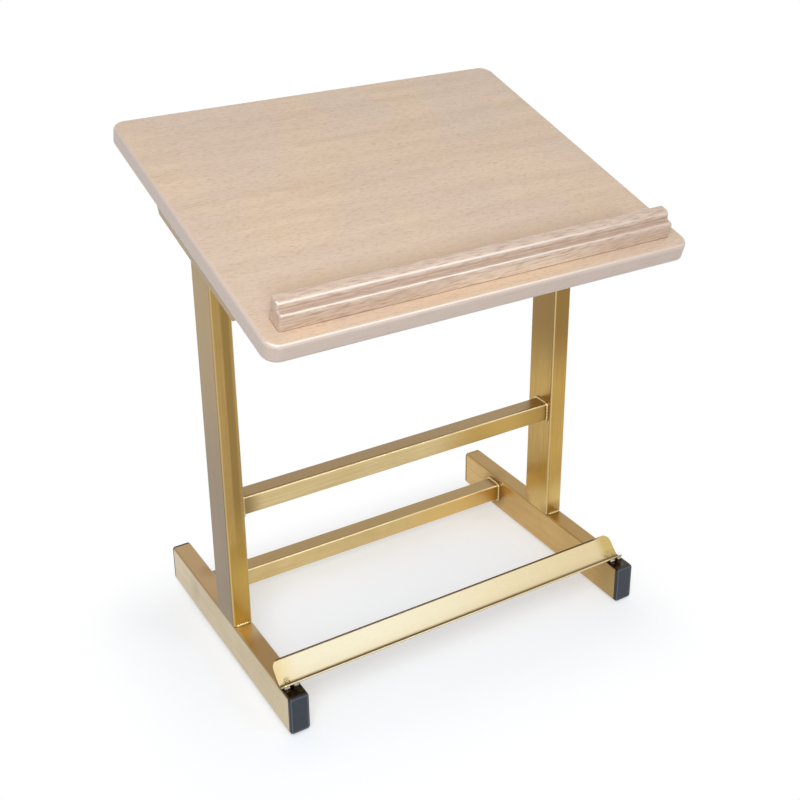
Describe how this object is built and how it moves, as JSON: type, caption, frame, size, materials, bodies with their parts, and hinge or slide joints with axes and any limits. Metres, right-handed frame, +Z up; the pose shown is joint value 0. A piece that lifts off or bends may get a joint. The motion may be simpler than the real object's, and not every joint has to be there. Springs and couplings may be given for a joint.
{
  "type": "tabletop lectern",
  "caption": "Tabletop lectern with a sloping wooden reading board and book ledge on a welded steel tube stand with a bent book stop across its feet.",
  "frame": {"origin": "on the table, under the middle of the outline", "axes": "+X to the reader's right, +Y away from the reader, +Z up"},
  "size_m": [0.43, 0.338, 0.5091],
  "materials": {
    "limed_wood": "whitewashed, satin",
    "gold_paint": "satin metallic gold",
    "black_plastic": "moulded, satin",
    "black_rubber": "matt",
    "zinc_plate": "plated"
  },
  "bodies": {
    "root": {"reading_board": "limed_wood", "book_ledge": "limed_wood", "left_board_bracket": "gold_paint", "right_board_bracket": "gold_paint", "left_upright": "gold_paint", "right_upright": "gold_paint", "left_foot": "gold_paint", "right_foot": "gold_paint", "upper_crossbar": "gold_paint", "lower_crossbar": "gold_paint", "book_stop_strip": "gold_paint", "upper_crossbar_left_weld": "gold_paint", "upper_crossbar_right_weld": "gold_paint", "lower_crossbar_left_weld": "gold_paint", "lower_crossbar_right_weld": "gold_paint", "left_upright_front_weld": "gold_paint", "left_upright_rear_weld": "gold_paint", "right_upright_front_weld": "gold_paint", "right_upright_rear_weld": "gold_paint", "left_bracket_weld": "gold_paint", "right_bracket_weld": "gold_paint", "left_strip_inner_tack": "gold_paint", "left_strip_outer_tack": "gold_paint", "right_strip_inner_tack": "gold_paint", "right_strip_outer_tack": "gold_paint", "left_front_cap": "black_plastic", "left_rear_cap": "black_plastic", "right_front_cap": "black_plastic", "right_rear_cap": "black_plastic", "left_front_glide": "black_rubber", "left_rear_glide": "black_rubber", "right_front_glide": "black_rubber", "right_rear_glide": "black_rubber", "left_front_board_screw": "zinc_plate", "left_rear_board_screw": "zinc_plate", "right_front_board_screw": "zinc_plate", "right_rear_board_screw": "zinc_plate", "left_ledge_screw": "zinc_plate", "middle_ledge_screw": "zinc_plate", "right_ledge_screw": "zinc_plate"}
  },
  "joints": []
}
